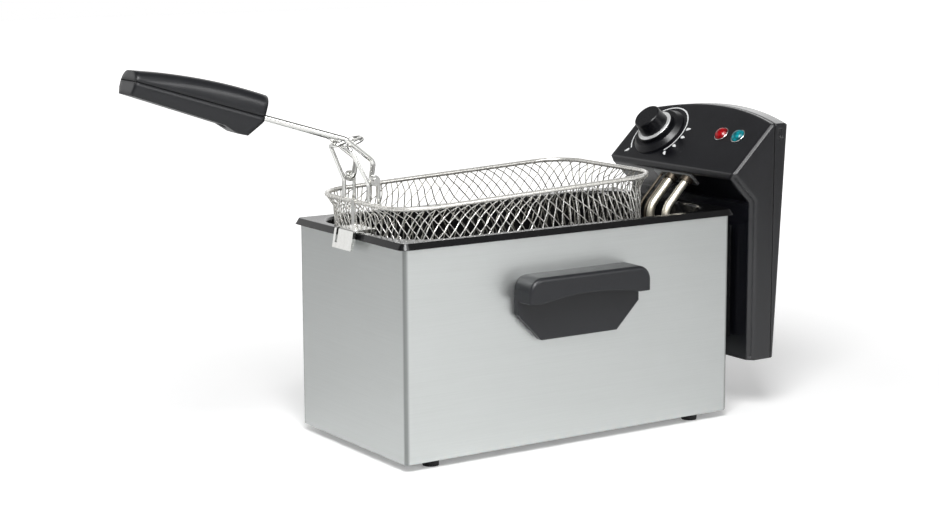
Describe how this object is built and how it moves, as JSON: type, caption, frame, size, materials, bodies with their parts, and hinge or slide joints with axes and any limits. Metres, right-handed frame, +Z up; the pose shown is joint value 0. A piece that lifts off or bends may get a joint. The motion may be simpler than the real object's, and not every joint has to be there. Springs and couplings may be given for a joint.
{
  "type": "deep fryer",
  "caption": "Counter-top deep fryer with a steel housing, drop-in oil pan, lift-out control unit with heating element, and a wire basket with a folding handle hung up to drain.",
  "frame": {"origin": "on the table, in the plane of the feet, under the centre of the housing", "axes": "+Z up, +X from the basket's handle to the control unit, +Y to the back"},
  "size_m": [0.5399, 0.1956, 0.2908],
  "materials": {
    "satin_steel": "satin",
    "zinc_steel": "satin",
    "foot_rubber": "matte",
    "handle_plastic": "satin",
    "pan_enamel": "gloss",
    "basket_chrome": "polished",
    "case_plastic": "gloss",
    "element_steel": "satin",
    "ring_metal": "polished",
    "red_lamp": "gloss",
    "green_lamp": "gloss",
    "inner_plastic": "matte",
    "reset_plastic": "satin"
  },
  "bodies": {
    "housing": {"housing_shell": "satin_steel", "base_plate": "satin_steel", "foot_front_left": "foot_rubber", "foot_front_right": "foot_rubber", "foot_rear_left": "foot_rubber", "foot_rear_right": "foot_rubber", "foot_screws": "zinc_steel", "side_handle_front": "handle_plastic", "side_handle_rear": "handle_plastic", "side_handle_screws": "zinc_steel", "guide_rail_front": "pan_enamel", "guide_rail_rear": "pan_enamel", "rail_rivets": "zinc_steel", "oil_pan": "pan_enamel"},
    "basket": {"basket_rim": "basket_chrome", "basket_mesh": "basket_chrome", "basket_hook": "basket_chrome", "handle_bracket": "basket_chrome"},
    "handle": {"handle_wire": "basket_chrome", "grip_upper_shell": "handle_plastic", "grip_lower_shell": "handle_plastic", "grip_screw": "zinc_steel"},
    "control": {"control_housing": "case_plastic", "rear_cover": "case_plastic", "cover_screws": "zinc_steel", "slide_plate": "pan_enamel", "element_flange": "zinc_steel", "tube_collars": "element_steel", "heating_element": "element_steel", "element_clips": "zinc_steel", "thermostat_probe": "element_steel", "cutout_probe": "element_steel", "thermostat_body": "inner_plastic", "knob_bezel": "case_plastic", "red_lens": "red_lamp", "green_lens": "green_lamp", "lamp_holders": "inner_plastic", "thermal_cutout": "inner_plastic", "terminal_block": "inner_plastic", "safety_switch": "inner_plastic", "cord_gland": "foot_rubber"},
    "knob": {"temperature_knob": "case_plastic", "knob_ring": "ring_metal", "thermostat_shaft": "element_steel"},
    "reset": {"reset_button": "reset_plastic"}
  },
  "joints": [
    {"name": "basket_lift", "type": "slide", "parent": "housing", "child": "basket", "axis": [0, 0, 1], "range_m": [0, 0.11]},
    {"name": "handle_fold", "type": "hinge", "parent": "basket", "child": "handle", "pos_m": [-0.1375, 0, 0.204], "axis": [0, 1, 0], "range_deg": [0, 150]},
    {"name": "control_lift", "type": "slide", "parent": "housing", "child": "control", "axis": [0, 0, 1], "range_m": [0, 0.042]},
    {"name": "knob_turn", "type": "hinge", "parent": "control", "child": "knob", "pos_m": [0.17126, 0.0405, 0.21465], "axis": [0.6884, 0, -0.7254], "range_deg": [0, 264]},
    {"name": "reset_press", "type": "slide", "parent": "control", "child": "reset", "axis": [-1, 0, 0], "range_m": [0, 0.002], "stiffness_N_per_m": 400}
  ]
}
